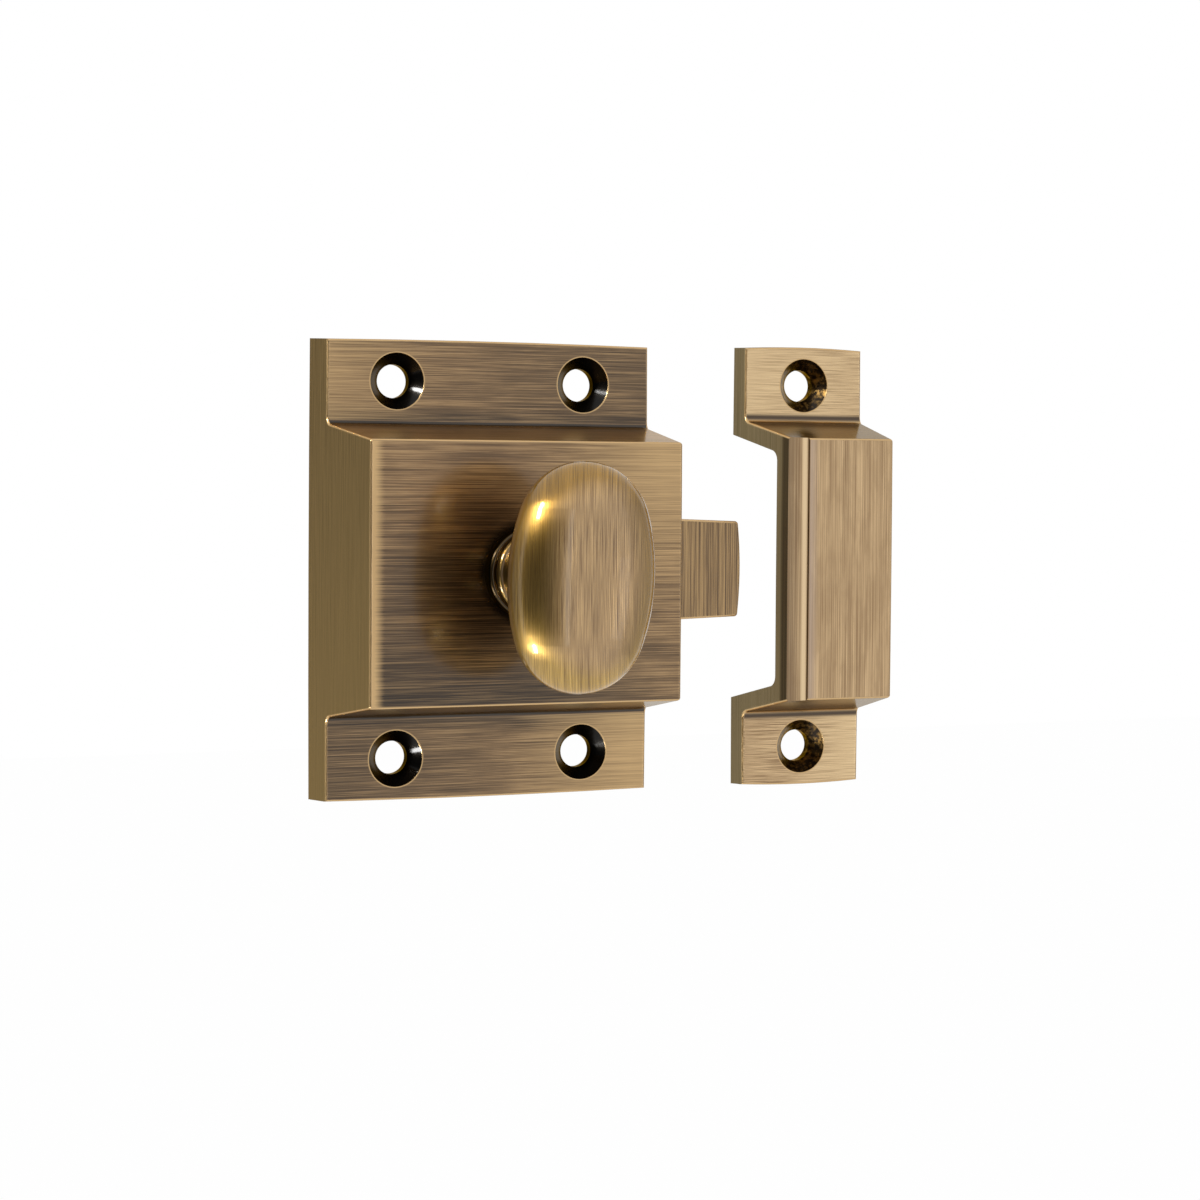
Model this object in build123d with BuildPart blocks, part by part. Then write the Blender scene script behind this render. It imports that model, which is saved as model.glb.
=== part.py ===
"""Cupboard catch latch: a surface-mounted turn latch with a spring bolt, and its keeper.

Millimetres. X runs from the case to the keeper, Z is up, and the fronts face -Y.
The backs of the case and of the keeper lie on the plane Y = 0.
The origin is the middle of the case's back, on the knob's axis.
A depth is a distance in front of the back plane.
"""

import os
from math import atan2, cos, hypot, radians, sin, sqrt, tan

from build123d import *

# Case casting
case_width = 49.9  # at the back
case_height = 64.7  # at the back
flange_depth = 6.0  # from the back to the front of the screw flanges
box_depth = 14.6  # from the front of the flanges to the raised front
box_height = 40.8  # where the box leaves the flanges
wall = 3.1  # the casting's walls
side_draft = 5.1  # degrees, on the left and right sides
end_draft = 2.4  # degrees, on the top and bottom ends
step_draft = 8.7  # degrees, on the box's top and bottom
side_bow = 0.1  # how far the long sides swell at mid height
end_bow = 0.2  # how far the top and bottom edges swell
step_round = 1.1  # hollow where the box meets a flange
edge_round = 0.45  # polished outer edges
cavity_round = 1.5

# Screw holes, for a No. 8 countersunk wood screw
screw_hole_radius = 2.36
screw_head_radius = 3.98
screw_head_angle = 82
case_screw_spacing_x = 28.3
case_screw_spacing_z = 52.9

# Keeper
keeper_x = 51.6  # its middle, at the photo's spacing from the case
keeper_width = 20.25  # at the back
keeper_height = 65.4  # at the back
foot_depth = 3.2
strap_depth = 12.4  # from the feet's front to the strap's front
strap_height = 43.5  # where the strap leaves the feet
strap_thickness = 3.8
pocket_height = 39.4  # at the back
pocket_draft = 12.6  # degrees
keeper_side_draft = 6.3  # degrees
keeper_step_draft = 12.1  # degrees
keeper_end_bow = 0.3
keeper_side_bow = 0.1
pocket_round = 1.6
keeper_screw_spacing = 54.3
lip_width = 2.9  # the lead-in along the strap's left edge
lip_step = 0.35  # how far the lip lies under the strap's face
lip_fall = 0.45  # how much more it falls towards the edge
lip_round = 0.3

# Turn knob
knob_half_width = 10.15
knob_half_height = 15.4
knob_half_depth = 7.4
knob_end_radius = 9.2  # of the round top and bottom
knob_projection = 25.1  # from the raised front to the knob's front
knob_lean = 2.7  # degrees, clockwise on its square socket
knob_end_flat = 0.2  # half the tiny flat at the oval's top and bottom
neck_radius = 4.2
neck_root_radius = 5.6
neck_sink = 1.8  # how far the neck's root lies inside the oval
foot_radius = 5.8
foot_height = 1.5
foot_round = 0.6
stem_radius = 3.7

# Neck bush
bush_radius = 6.4
bush_height = 1.3
bush_round = 0.6
bush_shank_radius = 5.2

# Spindle, clip, washer and grub screw
spindle_square = 4.0
journal_radius = 1.95
socket_depth = 14.0  # in the knob, from the end of its stem
clip_thickness = 0.6
clip_radius = 5.4
clip_opening = 3.6
clip_groove_depth = 0.4
washer_thickness = 0.5
washer_radius = 6.0
grub_radius = 1.5
grub_length = 2.1
grub_setback = 1.0  # from the neck's foot to the grub screw

# Cam
cam_thickness = 3.5
cam_hub_radius = 4.3
cam_reach = 4.6  # from the axis to the crosshead, at rest
cam_base_radius = 6.8  # travel of the bolt for each radian of the knob
cam_turn = 75.0  # degrees, from rest to the stop
lobe_thickness = 3.2
flank_steps = 8

# Bolt
bolt_thickness = 7.9
bolt_height = 15.0
bolt_tip_height = 13.9
bolt_tip_x = 37.3
bolt_tip_bow = 0.4
bevel_length = 9.0  # on the back of the nose
bevel_depth = 5.4
crosshead_thickness = 3.5
crosshead_height = 21.0
crosshead_rise = 4.6  # in front of the bolt's bar
bolt_round = 0.5

# Spring
spring_wire_radius = 0.3
spring_radius = 3.4  # to the middle of the wire
spring_turns = 5
nib_radius = 2.5
nib_length = 1.7

# Back cover and its screws
cover_thickness = 1.5
cover_screw_radius = 0.9
cover_screw_length = 4.2
cover_head_radius = 1.9
cover_slot_width = 0.5
cover_slot_depth = 0.35
cover_screw_spacing = 30.0
cover_edge = 2.2  # from a screw's axis to the cover's top or bottom edge
cover_corner = 2.0

# Clearances
slide_gap = 0.25  # round the bolt
seat_gap = 0.1  # between faces that turn or slide on each other
shaft_gap = 0.05  # radial, round shafts and in square sockets
press_gap = 0.01  # radial, round fixed pieces

# Depths and sizes that follow
case_depth = flange_depth + box_depth
flange_floor = flange_depth - wall
front_inside = case_depth - wall
front_width = case_width - 2 * case_depth * tan(radians(side_draft))
cover_back = flange_floor - cover_thickness
bolt_back = flange_floor + slide_gap
bolt_front = bolt_back + bolt_thickness
bolt_travel = cam_base_radius * radians(cam_turn)
cam_back = bolt_front + slide_gap
cam_front = cam_back + cam_thickness
stem_end = cam_front + seat_gap
socket_end = stem_end + socket_depth
washer_back = front_inside - seat_gap - washer_thickness
clip_back = washer_back - seat_gap - clip_thickness
knob_depth = case_depth + knob_projection - knob_half_depth
foot_back = case_depth + bush_height + seat_gap
foot_front = foot_back + foot_height
root_depth = knob_depth - knob_half_depth + neck_sink
waist_depth = (foot_front + root_depth) / 2
socket_half = spindle_square / 2 + shaft_gap
grub_depth = foot_front + grub_setback + grub_radius
keeper_depth = foot_depth + strap_depth
cover_screw_z = (box_height - wall) / 2


def case_half_width(depth):
    """Half the case's outside width at a depth."""
    return case_width / 2 - depth * tan(radians(side_draft))


def case_half_height(depth):
    """Half the height over both flanges at a depth."""
    return case_height / 2 - depth * tan(radians(end_draft))


def box_half_height(depth):
    """Half the raised box's outside height at a depth."""
    return box_height / 2 - (depth - flange_depth) * tan(radians(step_draft))


def front_plane(depth):
    """The plane at a depth, facing the front."""
    return Plane.XZ.offset(depth)


def back_plane(depth):
    """The plane at a depth, facing the back."""
    return Plane((0, -depth, 0), x_dir=(1, 0, 0), z_dir=(0, 1, 0))


def bowed_outline(width, height, bow_of_sides, bow_of_ends):
    """A rectangle whose sides swell a little, as polishing leaves them."""
    x, y = width / 2, height / 2
    with BuildSketch() as outline:
        with BuildLine():
            ThreePointArc((-x, -y), (0, -y - bow_of_ends), (x, -y))
            ThreePointArc((x, -y), (x + bow_of_sides, 0), (x, y))
            ThreePointArc((x, y), (0, y + bow_of_ends), (-x, y))
            ThreePointArc((-x, y), (-x - bow_of_sides, 0), (-x, -y))
        make_face()
    return outline.sketch


def cavity_outline(depth, height):
    """The inside of the case at a depth, for a given height."""
    with BuildSketch() as outline:
        RectangleRounded(2 * (case_half_width(depth) - wall), height, cavity_round)
    return outline.sketch


def step_profile(foot, base_height, front, draft):
    """Side view of what is cut away over both flanges or feet, with a hollow corner."""
    ahead = front + wall
    with BuildSketch() as steps:
        with BuildLine():
            Polyline(
                (-foot, base_height / 2),
                (-ahead, base_height / 2 - (ahead - foot) * tan(radians(draft))),
                (-ahead, case_height),
                (-foot, case_height),
                close=True,
            )
        make_face()
        fillet(steps.vertices().group_by(Axis.X)[-1].sort_by(Axis.Y)[0], step_round)
        mirror(about=Plane.XZ)
    return steps.sketch


def polished_edges(part):
    """The outer edges that polishing rounds: round the front, and round each flange or foot."""
    levels = part.faces().filter_by(Plane.XZ).group_by(Axis.Y)
    edges = levels[0][0].edges()
    for flange in levels[1]:
        inner = flange.edges().sort_by(lambda edge: abs(edge.center().Z))[0]
        edges += [edge for edge in flange.edges() if edge != inner]
    return edges


# Where the spring stands between the case's left wall and the bolt's crosshead
spring_depth = (bolt_back + bolt_front) / 2
spring_outside = spring_radius + spring_wire_radius
spring_left = wall - case_half_width(spring_depth + spring_outside)
spring_right = -(cam_reach + shaft_gap + crosshead_thickness)

os.makedirs("parts", exist_ok=True)

# Case: a drafted block with a step cut over each flange, hollow from the back
with BuildPart() as latch_case:
    with BuildSketch(front_plane(0)):
        add(bowed_outline(case_width, case_height, side_bow, end_bow))
    with BuildSketch(front_plane(case_depth)):
        add(bowed_outline(front_width, 2 * case_half_height(case_depth), side_bow, end_bow))
    loft(ruled=True)
    with BuildSketch(Plane.YZ):
        add(step_profile(flange_depth, box_height, case_depth, step_draft))
    extrude(amount=case_width, both=True, mode=Mode.SUBTRACT)
    fillet(polished_edges(latch_case), edge_round)

    # The shallow recess behind the flanges, then the deep one behind the box
    with BuildSketch(front_plane(0)):
        add(cavity_outline(0, case_height - 2 * wall))
    with BuildSketch(front_plane(flange_floor)):
        add(cavity_outline(flange_floor, 2 * (case_half_height(flange_floor) - wall)))
    loft(ruled=True, mode=Mode.SUBTRACT)
    with BuildSketch(front_plane(flange_floor)):
        add(cavity_outline(flange_floor, 2 * (box_half_height(flange_floor) - wall)))
    with BuildSketch(front_plane(front_inside)):
        add(cavity_outline(front_inside, 2 * (box_half_height(front_inside) - wall)))
    loft(ruled=True, mode=Mode.SUBTRACT)

    # Screw holes in the flanges, the bush's hole and the bolt's slot
    with Locations(front_plane(flange_depth)):
        with GridLocations(case_screw_spacing_x, case_screw_spacing_z, 2, 2):
            CounterSinkHole(screw_hole_radius, screw_head_radius, counter_sink_angle=screw_head_angle)
    with Locations(front_plane(case_depth)):
        Hole(bush_shank_radius + press_gap)
    with BuildSketch(Plane.YZ.offset(front_width / 2 - 2 * wall)):
        with Locations((-(flange_floor + bolt_front + slide_gap) / 2, 0)):
            Rectangle(bolt_front + slide_gap - flange_floor, bolt_height + 2 * slide_gap)
    extrude(amount=4 * wall, mode=Mode.SUBTRACT)

    # A nib on the left wall centres the spring
    with BuildSketch(Plane.YZ.offset(spring_left - wall / 2)):
        with Locations((-spring_depth, 0)):
            Circle(nib_radius)
    extrude(amount=wall / 2 + nib_length)

    # Tapped holes for the cover's screws
    with Locations(front_plane(flange_floor)):
        with GridLocations(cover_screw_spacing, 2 * cover_screw_z, 2, 2):
            Cylinder(
                cover_screw_radius + press_gap,
                cover_screw_length - cover_thickness + slide_gap,
                align=(Align.CENTER, Align.CENTER, Align.MIN),
                mode=Mode.SUBTRACT,
            )
latch_case.part.label = "latch_case"
export_step(latch_case.part, "parts/latch_case.step")

# Keeper: a hat-section strap on two feet, with a lead-in lip for the bolt
with BuildPart() as keeper:
    keeper_front_width = keeper_width - 2 * keeper_depth * tan(radians(keeper_side_draft))
    keeper_front_height = keeper_height - 2 * keeper_depth * tan(radians(end_draft))
    with BuildSketch(front_plane(0)):
        add(bowed_outline(keeper_width, keeper_height, keeper_side_bow, keeper_end_bow))
    with BuildSketch(front_plane(keeper_depth)):
        add(bowed_outline(keeper_front_width, keeper_front_height, keeper_side_bow, keeper_end_bow))
    loft(ruled=True)
    with BuildSketch(Plane.YZ):
        add(step_profile(foot_depth, strap_height, keeper_depth, keeper_step_draft))
    extrude(amount=keeper_width, both=True, mode=Mode.SUBTRACT)
    fillet(polished_edges(keeper), edge_round)

    # The lip: a shallow step along the left edge, which falls away to the left
    with BuildSketch(Plane.XY):
        left = -keeper_width / 2
        lip_right = -keeper_front_width / 2 + lip_width
        with BuildLine():
            Polyline(
                (lip_right, -keeper_depth - wall),
                (lip_right, -keeper_depth + lip_step),
                (-keeper_front_width / 2, -keeper_depth + lip_step + lip_fall),
                (left, -keeper_depth + lip_step + lip_fall),
                (left, -keeper_depth - wall),
                close=True,
            )
        make_face()
    extrude(amount=keeper_height, both=True, mode=Mode.SUBTRACT)
    lip_middle = (lip_right - lip_width / 2, -keeper_depth + lip_step + lip_fall / 2, 0)
    lip_edges = keeper.faces().sort_by_distance(lip_middle)[0].edges()
    fillet(lip_edges.sort_by(Axis.X)[0], lip_round)

    # The pocket that the bolt springs into, open at both sides
    with BuildSketch(Plane.YZ) as pocket:
        pocket_depth = keeper_depth - strap_thickness
        pocket_front = pocket_height / 2 - pocket_depth * tan(radians(pocket_draft))
        with BuildLine():
            Polyline(
                (0, pocket_height / 2),
                (-pocket_depth, pocket_front),
                (-pocket_depth, -pocket_front),
                (0, -pocket_height / 2),
                close=True,
            )
        make_face()
        fillet(pocket.vertices().group_by(Axis.X)[0], pocket_round)
    extrude(amount=keeper_width, both=True, mode=Mode.SUBTRACT)
    with Locations(front_plane(foot_depth)):
        with GridLocations(0, keeper_screw_spacing, 1, 2):
            CounterSinkHole(screw_hole_radius, screw_head_radius, counter_sink_angle=screw_head_angle)
keeper.part.position = (keeper_x, 0, 0)
keeper.part.label = "keeper"
export_step(keeper.part, "parts/keeper.step")

# Neck bush: a turned ring with a shank through the case's front
with BuildPart() as neck_bush:
    with BuildSketch(front_plane(front_inside)):
        Circle(bush_shank_radius)
    extrude(amount=wall)
    with BuildSketch(front_plane(case_depth)):
        Circle(bush_radius)
    extrude(amount=bush_height)
    fillet(neck_bush.edges().group_by(Axis.Y)[0], bush_round)
    with Locations(front_plane(case_depth + bush_height)):
        Hole(stem_radius + shaft_gap)
neck_bush.part.label = "neck_bush"
export_step(neck_bush.part, "parts/neck_bush.step")

# The knob's oval: long side arcs run smoothly into end arcs. This outline is turned about
# its upright axis, then flattened front to back.
with BuildPart() as oval:
    end_z = knob_half_height - knob_end_radius  # the middle of the top arc
    side_radius = (knob_half_width**2 + end_z**2 - knob_end_radius**2) / (2 * (knob_half_width - knob_end_radius))
    side_x = knob_half_width - side_radius  # the middle of the side arc
    reach = side_radius / hypot(side_x, end_z)
    join_x, join_z = side_x - side_x * reach, end_z * reach
    top_z = end_z + sqrt(knob_end_radius**2 - knob_end_flat**2)
    join_angle = atan2(join_z - end_z, join_x)
    top_angle = atan2(top_z - end_z, knob_end_flat)
    middle_angle = (join_angle + top_angle) / 2
    middle_x = knob_end_radius * cos(middle_angle)
    middle_z = end_z + knob_end_radius * sin(middle_angle)
    with BuildSketch(Plane.XZ):
        with BuildLine():
            ThreePointArc((knob_end_flat, top_z), (middle_x, middle_z), (join_x, join_z))
            ThreePointArc((join_x, join_z), (knob_half_width, 0), (join_x, -join_z))
            ThreePointArc((join_x, -join_z), (middle_x, -middle_z), (knob_end_flat, -top_z))
            Polyline((knob_end_flat, -top_z), (0, -top_z), (0, top_z), (knob_end_flat, top_z))
        make_face()
    revolve(axis=Axis.Z)
    scale(by=(1, knob_half_depth / knob_half_width, 1))

# Turn knob: the oval, its turned neck and the stem that runs through the bush
with BuildPart() as turn_knob:
    with BuildSketch(Plane.XY):
        with BuildLine():
            Polyline(
                (neck_root_radius, -root_depth),
                (0, -root_depth),
                (0, -stem_end),
                (stem_radius, -stem_end),
                (stem_radius, -clip_back + seat_gap),
                (stem_radius - clip_groove_depth, -clip_back + seat_gap),
                (stem_radius - clip_groove_depth, -clip_back - clip_thickness - seat_gap),
                (stem_radius, -clip_back - clip_thickness - seat_gap),
                (stem_radius, -foot_back),
                (foot_radius - foot_round, -foot_back),
            )
            foot_middle = (foot_back + foot_front) / 2
            foot_top = (foot_radius - foot_round, -foot_front)
            ThreePointArc((foot_radius - foot_round, -foot_back), (foot_radius, -foot_middle), foot_top)
            ThreePointArc(foot_top, (neck_radius, -waist_depth), (neck_root_radius, -root_depth))
        make_face()
    revolve(axis=Axis.Y)
    with Locations(Location((0, -knob_depth, 0), (0, knob_lean, 0))):
        add(oval.part)
    with BuildSketch(front_plane(stem_end)):
        Rectangle(2 * socket_half, 2 * socket_half)
    extrude(amount=socket_depth, mode=Mode.SUBTRACT)
    with BuildSketch(Plane.XY.offset(-socket_half)):
        with Locations((0, -grub_depth)):
            Circle(grub_radius + press_gap)
    extrude(amount=-neck_root_radius, mode=Mode.SUBTRACT)
turn_knob.part.label = "turn_knob"
export_step(turn_knob.part, "parts/turn_knob.step")

# Grub screw: up through the underside of the neck against the spindle
with BuildPart() as grub_screw:
    with BuildSketch(Plane.XY.offset(-spindle_square / 2)):
        with Locations((0, -grub_depth)):
            Circle(grub_radius)
    extrude(amount=-grub_length)
    with BuildSketch(Plane.XY.offset(-spindle_square / 2 - grub_length)):
        with Locations((0, -grub_depth)):
            RegularPolygon(grub_radius / 2, 6)
    extrude(amount=grub_length / 2, mode=Mode.SUBTRACT)
grub_screw.part.label = "grub_screw"
export_step(grub_screw.part, "parts/grub_screw.step")

# Spindle: square through the knob and the cam, round through the bolt and the back cover
with BuildPart() as spindle:
    with BuildSketch(front_plane(cam_back)):
        Rectangle(spindle_square, spindle_square)
    extrude(amount=socket_end - seat_gap - cam_back)
    with BuildSketch(front_plane(cover_back)):
        Circle(journal_radius)
    extrude(amount=cam_back - cover_back)
spindle.part.label = "spindle"
export_step(spindle.part, "parts/spindle.step")

# Friction washer, under the clip
with BuildPart() as friction_washer:
    with BuildSketch(front_plane(washer_back)):
        Circle(washer_radius)
        Circle(stem_radius + shaft_gap, mode=Mode.SUBTRACT)
    extrude(amount=washer_thickness)
friction_washer.part.label = "friction_washer"
export_step(friction_washer.part, "parts/friction_washer.step")

# Stem clip: an open ring in the stem's groove
with BuildPart() as stem_clip:
    with BuildSketch(front_plane(clip_back)):
        Circle(clip_radius)
        Circle(stem_radius - clip_groove_depth + press_gap, mode=Mode.SUBTRACT)
        with Locations((0, -clip_radius)):
            Rectangle(clip_opening, 2 * clip_radius, mode=Mode.SUBTRACT)
    extrude(amount=clip_thickness)
stem_clip.part.label = "stem_clip"
export_step(stem_clip.part, "parts/stem_clip.step")


def lobe_point(turn):
    """A point of the cam's flank that bears on the crosshead once the knob has turned this far."""
    reach = cam_reach + cam_base_radius * turn
    across = -reach * cos(turn) + cam_base_radius * sin(turn)
    down = -reach * sin(turn) - cam_base_radius * cos(turn)
    return across, down


# Cam: a hub with two lobes, whose flanks are involutes, so that the bolt moves evenly
with BuildPart() as cam:
    with BuildSketch(front_plane(cam_back)) as cam_outline:
        with BuildLine():
            full_turn = radians(cam_turn)
            flank = [lobe_point(full_turn * i / flank_steps) for i in range(flank_steps + 1)]
            tip = flank[-1]
            tip_back = (tip[0] + lobe_thickness * cos(full_turn), tip[1] + lobe_thickness * sin(full_turn))
            Spline(*flank)
            Polyline(tip, tip_back, (cam_hub_radius - press_gap, 0), (-cam_hub_radius + press_gap, 0), flank[0])
        make_face()
        mirror(about=Plane.XZ)
        Circle(cam_hub_radius)
        Rectangle(2 * socket_half, 2 * socket_half, mode=Mode.SUBTRACT)
    extrude(amount=cam_thickness)
cam.part.label = "cam"
export_step(cam.part, "parts/cam.step")

# Bolt: a nose bevelled on its back, a slotted bar past the spindle, and a crosshead for the cam
with BuildPart() as latch_bolt:
    nose_left = case_half_width(bolt_back) - wall
    nose_right = bolt_tip_x - bolt_tip_bow
    with BuildSketch(front_plane(bolt_back)):
        with BuildLine():
            Polyline(
                (nose_right, bolt_tip_height / 2),
                (nose_left, bolt_height / 2),
                (spring_right, bolt_height / 2),
                (spring_right, -bolt_height / 2),
                (nose_left, -bolt_height / 2),
                (nose_right, -bolt_tip_height / 2),
            )
            ThreePointArc(
                (nose_right, -bolt_tip_height / 2),
                (bolt_tip_x, 0),
                (nose_right, bolt_tip_height / 2),
            )
        make_face()
    extrude(amount=bolt_thickness)
    tip_edges = latch_bolt.edges().filter_by(Axis.Y).group_by(Axis.X)[-1]
    fillet(tip_edges, bolt_round)
    fillet(latch_bolt.faces().sort_by(Axis.Y)[0].edges().group_by(Axis.X)[-1], bolt_round)

    # The bevel that the keeper's lip pushes on as the door shuts
    with BuildSketch(Plane.XY):
        with BuildLine():
            Polyline(
                (bolt_tip_x - bevel_length, -bolt_back),
                (bolt_tip_x, -bolt_back - bevel_depth),
                (bolt_tip_x + wall, -bolt_back - bevel_depth),
                (bolt_tip_x + wall, 0),
                (bolt_tip_x - bevel_length, 0),
                close=True,
            )
        make_face()
    extrude(amount=bolt_height, both=True, mode=Mode.SUBTRACT)

    # The crosshead stands up in front of the bar, in the cam's plane
    with BuildSketch(front_plane(bolt_back)):
        with Locations((spring_right + crosshead_thickness / 2, 0)):
            Rectangle(crosshead_thickness, crosshead_height)
    extrude(amount=bolt_thickness + crosshead_rise)

    # The spindle passes through the slot, and the nib centres the spring
    with BuildSketch(front_plane(bolt_front)):
        with Locations((bolt_travel / 2, 0)):
            slot_half = journal_radius + slide_gap
            SlotOverall(bolt_travel + 2 * slot_half, 2 * slot_half)
    extrude(amount=-bolt_thickness, mode=Mode.SUBTRACT)
    with BuildSketch(Plane.YZ.offset(spring_right)):
        with Locations((-spring_depth, 0)):
            Circle(nib_radius)
    extrude(amount=-nib_length)
latch_bolt.part.label = "latch_bolt"
export_step(latch_bolt.part, "parts/latch_bolt.step")

# Bolt spring: a coil between the case's left wall and the crosshead
with BuildPart() as bolt_spring:
    coil_length = spring_right - spring_left - 2 * (seat_gap + spring_wire_radius)
    coil_start = (spring_left + seat_gap + spring_wire_radius, -spring_depth, 0)
    with BuildLine() as coil:
        Helix(coil_length / spring_turns, coil_length, spring_radius, center=coil_start, direction=(1, 0, 0))
    with BuildSketch(Plane(coil.line @ 0, z_dir=coil.line % 0)):
        Circle(spring_wire_radius)
    sweep(path=coil.line, is_frenet=True)
bolt_spring.part.label = "bolt_spring"
export_step(bolt_spring.part, "parts/bolt_spring.step")

# Back cover: seated on the backs of the flanges, with a bearing hole for the spindle
with BuildPart() as back_cover:
    cover_width = 2 * (case_half_width(flange_floor) - wall - slide_gap)
    with BuildSketch(front_plane(cover_back)):
        RectangleRounded(cover_width, 2 * (cover_screw_z + cover_edge), cover_corner)
        Circle(journal_radius + shaft_gap, mode=Mode.SUBTRACT)
    extrude(amount=cover_thickness)
    with Locations(back_plane(cover_back)):
        with GridLocations(cover_screw_spacing, 2 * cover_screw_z, 2, 2):
            CounterSinkHole(cover_screw_radius + press_gap, cover_head_radius + press_gap)
back_cover.part.label = "back_cover"
export_step(back_cover.part, "parts/back_cover.step")

# Cover screws: countersunk, with a slot across the head
with BuildPart() as cover_screws:
    with Locations(back_plane(cover_back)):
        with GridLocations(cover_screw_spacing, 2 * cover_screw_z, 2, 2):
            Cylinder(
                cover_screw_radius,
                cover_screw_length,
                align=(Align.CENTER, Align.CENTER, Align.MAX),
            )
            Cone(
                cover_screw_radius,
                cover_head_radius,
                cover_head_radius - cover_screw_radius,
                align=(Align.CENTER, Align.CENTER, Align.MAX),
            )
            Box(
                2 * cover_head_radius,
                cover_slot_width,
                2 * cover_slot_depth,
                mode=Mode.SUBTRACT,
            )
cover_screws.part.label = "cover_screws"
export_step(cover_screws.part, "parts/cover_screws.step")
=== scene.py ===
"""Looks of a cupboard catch latch: lacquered antique brass on a hollow casting, its knob, bolt and keeper."""

from math import cos, pi, radians, sin

import bpy
from mathutils import Matrix, Vector


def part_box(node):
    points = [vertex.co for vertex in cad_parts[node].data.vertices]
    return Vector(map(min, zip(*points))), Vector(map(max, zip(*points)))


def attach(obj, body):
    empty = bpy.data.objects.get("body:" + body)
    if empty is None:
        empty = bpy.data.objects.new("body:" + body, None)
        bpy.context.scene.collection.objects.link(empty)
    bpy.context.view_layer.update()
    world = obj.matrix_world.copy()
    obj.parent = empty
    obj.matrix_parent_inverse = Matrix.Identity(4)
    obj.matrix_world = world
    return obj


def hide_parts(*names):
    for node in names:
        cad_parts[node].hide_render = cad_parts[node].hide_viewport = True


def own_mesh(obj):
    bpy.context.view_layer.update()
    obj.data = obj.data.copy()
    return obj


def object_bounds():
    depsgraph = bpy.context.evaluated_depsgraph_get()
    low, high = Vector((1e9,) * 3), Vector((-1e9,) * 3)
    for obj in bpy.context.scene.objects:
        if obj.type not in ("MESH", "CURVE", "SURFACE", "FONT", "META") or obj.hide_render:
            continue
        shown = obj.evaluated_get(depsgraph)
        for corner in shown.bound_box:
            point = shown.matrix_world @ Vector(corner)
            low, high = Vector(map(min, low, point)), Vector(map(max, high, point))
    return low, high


bl_info = {
    "name": "Cupboard catch latch",
    "version": (1, 0, 0),
    "blender": (4, 5, 0),
    "location": "3D View > Sidebar > Latch",
    "description": "Finishes a cupboard catch latch and its keeper, and sets a plain studio round them",
    "category": "Object",
}

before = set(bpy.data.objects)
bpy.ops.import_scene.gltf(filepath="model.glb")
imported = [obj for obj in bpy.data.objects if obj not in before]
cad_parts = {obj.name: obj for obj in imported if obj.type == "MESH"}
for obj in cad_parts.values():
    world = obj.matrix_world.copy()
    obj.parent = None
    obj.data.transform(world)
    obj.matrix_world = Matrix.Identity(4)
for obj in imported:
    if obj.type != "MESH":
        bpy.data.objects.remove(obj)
cad_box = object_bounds()

MM = 0.001
PHOTO_SIDE = 1200  # pixels along each side of the photograph
SENSOR_WIDTH = 36.0
WIRE_SIDES = 12
STEPS_PER_TURN = 32
SMOOTH_ANGLE = radians(40)
# Parts of the studio that are less bright than its white backdrop: from and to, in degrees
# round the latch from straight ahead, and their share of the backdrop's brightness
STUDIO_ZONES = (
    (-165, -118, 0.3),  # the open room behind the lamps
    (-105, -26, 0.09),  # a black flag, which the knob's left half mirrors
    (-24, 34, 0.9),  # the camera's side
    (62, 112, 0.6),  # the studio's right wall
)
ZONE_BORDER = 4

# Real brush lines are about 0.03 mm wide. They are drawn coarser in the settings below, so that they show
BRUSH_DEPTH = 0.01 * MM
MILLING_DEPTH = 0.01 * MM
DRAWING_DEPTH = 0.005 * MM
# Between these two values of a line pattern, its darkest tone turns to its brightest
LINE_TONES = (0.34, 0.66)
# Between these two sizes of a normal's number, a face turns to look along that axis
SIDE_TURN = (0.6, 0.8)
# Between these two, a face turns to look straight to the front
FRONT_TURN = (-0.97, -0.9)
CLOUD_SIZE = 11.1 * MM
PATCH_WIDTH = 2.2 * MM
CASE_PATCH_LENGTH = 8 * MM
KEEPER_PATCH_LENGTH = 9 * MM
SPECK_SIZE = 0.667 * MM
SPANGLE_SIZE = 1.43 * MM
SPANGLE_SHARE = 0.12
DRAWN_LINE = 0.08 * MM
DRAWN_LENGTH = 3 * MM
KNOB_GRAIN_TURN = radians(25)
KNOB_SPREAD = 0.75  # how far the knob's brushing spreads its highlights
CASE_ROUGHNESS = 0.34
KEEPER_ROUGHNESS = 0.32
KNOB_ROUGHNESS = 0.32
BOLT_ROUGHNESS = 0.32
BUSH_ROUGHNESS = 0.28
MILLED_ROUGHNESS = 0.34
PLATED_ROUGHNESS = 0.36
WIRE_ROUGHNESS = 0.3

# Places on the case and the keeper that the finishes follow
CASE_SCREWS_ACROSS = 14.15 * MM
CASE_SCREWS_UP = 26.45 * MM
KEEPER_SCREWS_UP = 27.15 * MM
COUNTERSINK_RADIUS = 3.98 * MM
HOLE_RADIUS = 2.4 * MM
CASE_SIDE = 24 * MM  # from the middle to just inside the case's left and right edges
STEP_UP = 21 * MM  # from the middle to the hollow at the foot of the case's step
BOX_FRONT = (-19 * MM, -18 * MM)  # the raised front lies before these
NEAR_FLANGES = (-9 * MM, -8 * MM)  # the flanges and the hollows at their steps lie behind these
KEEPER_HOLLOW = (21.9 * MM, 22.7 * MM)  # from the middle to the hollow at the foot of the keeper's step
LIP_FROM_MIDDLE = 5.5 * MM  # from the keeper's middle to the end of its lip
LIP_WIDTH = 2.9 * MM
NECK_BACK = (13 * MM, 15 * MM)  # from the knob's front to where its oval has turned to its neck
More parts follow.
